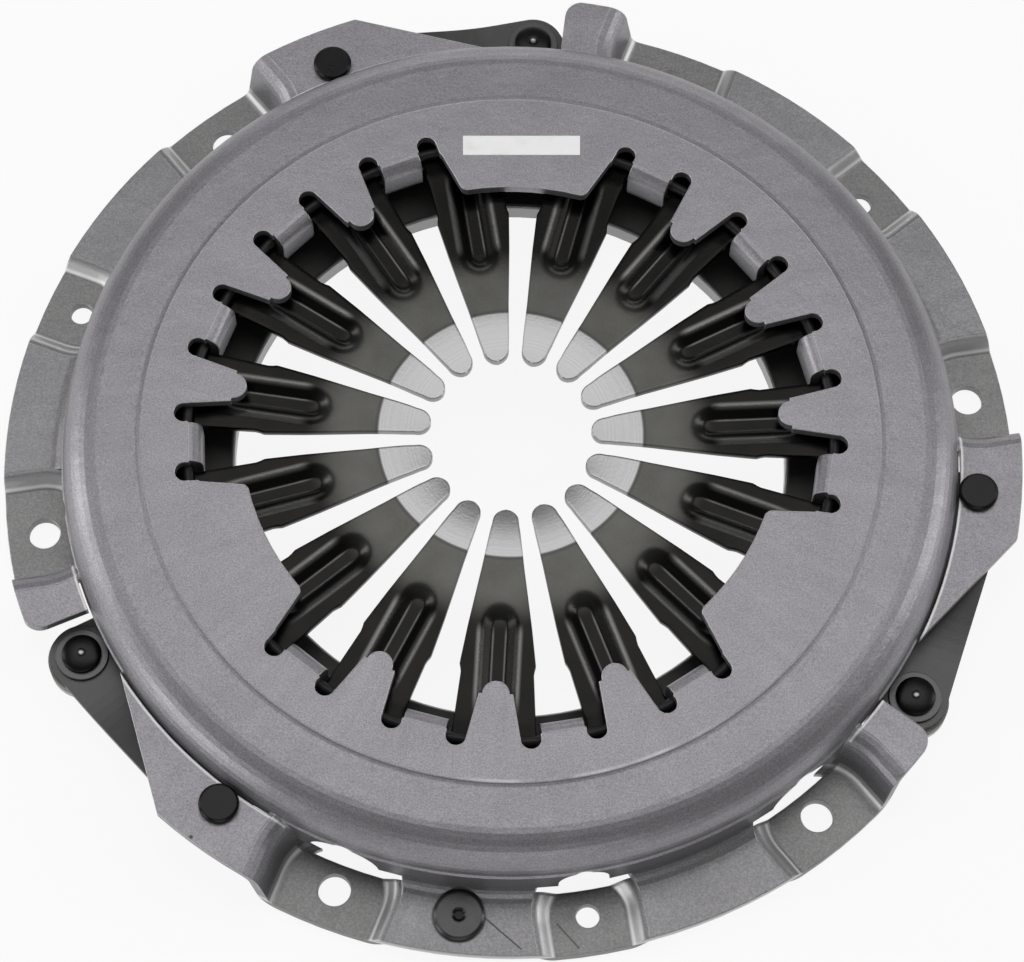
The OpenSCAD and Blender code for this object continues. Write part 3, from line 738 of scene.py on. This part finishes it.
def finger_rows():
    """(middle, side x, side y) for each row across a finger, from its tip to the pivot circle."""
    centre = TIP_INNER + TIP_ROUND
    rows = []
    for i in range(TIP_ROWS):
        turn = math.radians(TIP_FIRST_TURN + TIP_TURN_STEP * i)
        side = centre - TIP_ROUND * math.cos(turn)
        rows.append((side, side, (TIP_ROUND - TIP_NARROWED) * math.sin(turn)))
    slot_end = SLOT_SIDES[-2][0]
    for i in range(SLOT_ROWS + 1):
        s = SLOT_FROM + (slot_end - SLOT_FROM) * i / SLOT_ROWS
        side_x, side_y = from_slot(s, slot_half(s))
        rows.append((side_x, side_x, side_y))
    corner_s, corner_half = WINDOW_END - WINDOW_CORNER, WINDOW_HALF - WINDOW_CORNER
    ends = [(corner_s + WINDOW_CORNER * math.sin(t), corner_half + WINDOW_CORNER * math.cos(t))
            for t in QUARTER_TURN]
    ends += [(WINDOW_END, corner_half * (1 - i / WINDOW_ROWS)) for i in range(1, WINDOW_ROWS + 1)]
    first, last = rows[-1][0], PIVOT_RADIUS - BEFORE_SEAM
    for i, (s, half) in enumerate(ends):
        side_x, side_y = from_slot(s, half)
        rows.append((first + (last - first) * (i + 1) / len(ends), side_x, side_y))
    return rows


def columns(half):
    """Places across a row, from one side to the other, with three close to each edge."""
    edge = min(EDGE_BAND, half / 3)
    inner = [(half - edge) * (-1 + i / HALF_COLUMNS) for i in range(2 * HALF_COLUMNS + 1)]
    outer = [half - edge * EDGE_COLUMN, half]
    return [-p for p in reversed(outer)] + inner + outer


def seam_columns():
    """Places across a sector at the pivot circle, where its two parts meet."""
    return columns(PIVOT_RADIUS * math.sin(HALF_SECTOR))


def edge_drop(half, y):
    """How far the rounded edge lies below the surface at y."""
    gap = half - abs(y)
    if gap >= SPRING_EDGE:
        return 0
    return SPRING_EDGE - math.sqrt(SPRING_EDGE ** 2 - (SPRING_EDGE - gap) ** 2)


def turned(x, y, z, angle):
    """A point of the sector along X, turned round Z by the angle and in metres."""
    cos, sin = math.cos(angle), math.sin(angle)
    return Vector((x * cos - y * sin, x * sin + y * cos, z)) * MM


def finger_piece(name, angle):
    """The part of a sector inside the pivot circle: a finger and its root."""
    top, under = [], []
    for middle, side_x, side_y in finger_rows():
        row_top, row_under = [], []
        for y in columns(side_y):
            x = middle + (side_x - middle) * (y / side_y) ** 2
            height = spring_height(math.hypot(x, y)) + channel_height(x, y)
            drop = edge_drop(side_y, y)
            row_top.append(turned(x, y, height - drop, angle))
            row_under.append(turned(x, y, height - SPRING_THICK + drop, angle))
        top.append(row_top)
        under.append(row_under)
    seam = [(math.sqrt(PIVOT_RADIUS ** 2 - y * y), y) for y in seam_columns()]
    top.append([turned(x, y, cone_height(PIVOT_RADIUS), angle) for x, y in seam])
    under.append([turned(x, y, cone_height(PIVOT_RADIUS) - SPRING_THICK, angle) for x, y in seam])
    return new_piece(name, *shell(top, under), "spring_steel")


def rim_piece(name, angle):
    """The part of a sector outside the pivot circle, with a rounded outer edge."""
    turns = [math.asin(y / PIVOT_RADIUS) for y in seam_columns()]
    flat_end = SPRING_RADIUS - RIM_EDGE
    rings = [(PIVOT_RADIUS + (flat_end - PIVOT_RADIUS) * i / RIM_ROWS, 0) for i in range(RIM_ROWS + 1)]
    rings += [(flat_end + RIM_EDGE * math.sin(t), RIM_EDGE - RIM_EDGE * math.cos(t))
              for t in QUARTER_TURN[1:]]

    def row(r, z):
        return [turned(r * math.cos(t), r * math.sin(t), z, angle) for t in turns]

    top = [row(r, cone_height(r) - drop) for r, drop in rings]
    under = [row(r, cone_height(r) - SPRING_THICK + drop) for r, drop in rings]
    return new_piece(name, *shell(top, under), "spring_steel")


def spring_pieces():
    """Each sector's finger, from the pivot circle to its tip, and its rim, from the pivot circle to the
    plate's ridge; the CAD spring is hidden.
    """
    for i in range(FINGERS):
        angle = math.pi / 2 + HALF_SECTOR * (2 * i + 1)
        finger = finger_piece(f"finger_{i + 1:02d}", angle)
        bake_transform(finger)
        rim = rim_piece(f"spring_rim_{i + 1:02d}", angle)
        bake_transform(rim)
        for piece in (finger, rim):
            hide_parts("diaphragm_spring")


# Straps

LEAVES = ("top", "middle", "bottom")


def strap_pieces():
    """Each leaf, between its rivet on the cover and its rivet on the lug, is a copy of its CAD leaf, which
    is hidden.
    """
    for group in GROUPS:
        ear = middle_of(f"cover_rivet_{group}")
        lug = middle_of(f"lug_rivet_{group}")
        along = lug - ear
        along.z = 0
        along.normalize()
        for leaf in LEAVES:
            node = f"strap_{group}_{leaf}_leaf"
            mesh = frame["nodes"][node].data.copy()
            mesh.materials.clear()
            mesh.materials.append(LOOKS["strap_steel"])
            piece = added(f"leaf_{group}_{leaf}", mesh)
            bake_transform(piece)
            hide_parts(node)


# Lug rivets. The dimple's rows are shares of the head's radius and of the dimple's depth,
# and the closed head's are lengths in from its side and up from its end.

LATHE_STEPS = 48
HEAD_HIGH = 2.2 * MM
HEAD_DOME = 1.2 * MM
HEAD_TURNS = [math.radians(15 + 7.5 * i) for i in range(11)]
SHANK_RADIUS = 3 * MM
DIMPLE = 0.3 * MM
DIMPLE_ROWS = ((0, 1), (0.12, 0.9), (0.18, 0.4))
CLOSED_HEAD_ROWS = ((0, 0.8 * MM), (0.3 * MM, 0.3 * MM), (1 * MM, 0))


def lathe(name, centre, profile, look):
    """A closed form turned round a vertical line, from (radius, height) points that start and end on it."""
    verts, rings = [], []
    for radius, height in profile:
        if radius == 0:
            rings.append([len(verts)] * LATHE_STEPS)
            verts.append((centre.x, centre.y, height))
        else:
            rings.append([len(verts) + i for i in range(LATHE_STEPS)])
            for i in range(LATHE_STEPS):
                a = math.tau * i / LATHE_STEPS
                verts.append((centre.x + radius * math.cos(a), centre.y + radius * math.sin(a), height))
    faces = []
    for upper, lower in zip(rings, rings[1:]):
        for i in range(LATHE_STEPS):
            j = (i + 1) % LATHE_STEPS
            corners = dict.fromkeys((upper[i], lower[i], lower[j], upper[j]))
            faces.append(tuple(corners))
    return new_piece(name, verts, faces, look)


def rivet_pieces():
    """Each has a domed head with a dimple on top, a shank through leaves and lug, and a closed head."""
    for group in GROUPS:
        node = f"lug_rivet_{group}"
        low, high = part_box(node)
        head = (high.x - low.x) / 2
        seat = high.z - HEAD_HIGH
        foot = low.z + HEAD_HIGH
        dimple = [(share * head, high.z - depth * DIMPLE) for share, depth in DIMPLE_ROWS]
        dome = [(head * math.sin(t), high.z - HEAD_DOME * (1 - math.cos(t))) for t in HEAD_TURNS]
        shank = [(head, seat), (SHANK_RADIUS, seat), (SHANK_RADIUS, foot), (head, foot)]
        closed = [(head - inward, low.z + up) for inward, up in CLOSED_HEAD_ROWS] + [(0, low.z)]
        piece = lathe(f"rivet_{group}", (low + high) / 2, dimple + dome + shank + closed, "rivet_steel")
        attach(piece, "plate")
        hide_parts(node)


# Blank label on the cover's flat top

LABEL_LEFT_PX = 463
LABEL_RIGHT_PX = 580
LABEL_TOP_PX = 136
LABEL_BOTTOM_PX = 155
LABEL_THICK = 0.12 * MM
BOX_FACES = [(0, 3, 2, 1), (4, 5, 6, 7), (0, 1, 5, 4), (1, 2, 6, 5), (2, 3, 7, 6), (3, 0, 4, 7)]


def label_piece():
    """A thin box that goes as far into the cover as it stands out of it."""
    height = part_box("cover")[1].z
    corners = [under_pixel(x, y, height) for x, y in
               ((LABEL_LEFT_PX, LABEL_BOTTOM_PX), (LABEL_RIGHT_PX, LABEL_BOTTOM_PX),
                (LABEL_RIGHT_PX, LABEL_TOP_PX), (LABEL_LEFT_PX, LABEL_TOP_PX))]
    verts = [Vector((c.x, c.y, z)) for z in (height - LABEL_THICK, height + LABEL_THICK) for c in corners]
    piece = new_piece("blank_label", verts, BOX_FACES, "label")
    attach(piece, "cover_assembly")


# Floor, world and lights

FLOOR_SIZE = 12
FLOOR_GAP = 0.1 * MM
FLOOR_TONE = grey(0.8)
SHOWN_WHITE = 0.9
WORLD_LEVEL = 0.22
WHITE = grey(1)


def floor_look():
    """Nearly white to the camera, and still dimmed by the part's shadow."""
    g = Graph("floor_look")
    path = g.node("ShaderNodeLightPath")
    seen = g.math("MAXIMUM", path.outputs["Is Camera Ray"],
                  g.math("MAXIMUM", path.outputs["Is Glossy Ray"], path.outputs["Is Transmission Ray"]))
    matt = g.node("ShaderNodeBsdfDiffuse")
    matt.inputs["Color"].default_value = FLOOR_TONE
    glow = g.node("ShaderNodeEmission")
    glow.inputs["Color"].default_value = WHITE
    glow.inputs["Strength"].default_value = 1
    joined = g.node("ShaderNodeMixShader")
    g.feed(joined.inputs[0], g.both(seen, SHOWN_WHITE))
    g.feed(joined.inputs[1], matt.outputs[0])
    g.feed(joined.inputs[2], glow.outputs[0])
    output = g.node("ShaderNodeOutputMaterial")
    g.feed(output.inputs[0], joined.outputs[0])
    return g.material


def floor():
    """A wide floor just under the part."""
    half = FLOOR_SIZE / 2
    corners = [(x, y, -FLOOR_GAP) for x, y in ((-half, -half), (half, -half), (half, half), (-half, half))]
    mesh = bpy.data.meshes.new("floor")
    mesh.from_pydata(corners, [], [(0, 1, 2, 3)])
    mesh.materials.append(floor_look())
    added("floor", mesh)


def world():
    """White to the camera, and a weak fill light for the part."""
    made = bpy.data.worlds.new("studio")
    made.use_nodes = True
    nodes, links = made.node_tree.nodes, made.node_tree.links
    nodes.clear()
    path = nodes.new("ShaderNodeLightPath")
    mix = nodes.new("ShaderNodeMixShader")
    links.new(path.outputs["Is Camera Ray"], mix.inputs[0])
    for socket, strength in ((mix.inputs[1], WORLD_LEVEL), (mix.inputs[2], 1)):
        background = nodes.new("ShaderNodeBackground")
        background.inputs["Color"].default_value = WHITE
        background.inputs["Strength"].default_value = strength
        links.new(background.outputs[0], socket)
    output = nodes.new("ShaderNodeOutputWorld")
    links.new(mix.outputs[0], output.inputs[0])
    bpy.context.scene.world = made


# Each light's name, place, width, height and watts

LIGHTS = (
    ("overhead", (0, 0.42, 1.6), 1.6, 0.9, 8.5),
    ("left", (-1.5, 0.2, 0.6), 0.5, 1.2, 8),
    ("front_left", (-1.3, -0.8, 0.35), 0.7, 0.6, 5),
    ("right", (1.5, 0.3, 0.7), 0.5, 1.2, 7.5),
    ("back", (0, 1.5, 0.45), 1.6, 0.4, 4),
    ("front", (0.1, -1.6, 0.5), 1.2, 0.4, 3),
)


def soft_box(name, place, width, height, watts):
    """A large area light at a place, turned to the part."""
    lamp = bpy.data.lights.new(name, "AREA")
    lamp.shape = "RECTANGLE"
    lamp.size = width
    lamp.size_y = height
    lamp.energy = watts
    box = added(name, lamp)
    box.location = place
    box.rotation_euler = (-Vector(place)).to_track_quat("-Z", "Y").to_euler()


photo_camera()
dress_nodes()
spring_pieces()
strap_pieces()
rivet_pieces()
label_piece()
floor()
world()
for light in LIGHTS:
    soft_box(*light)

scene = bpy.context.scene
scene.view_settings.view_transform = "Standard"
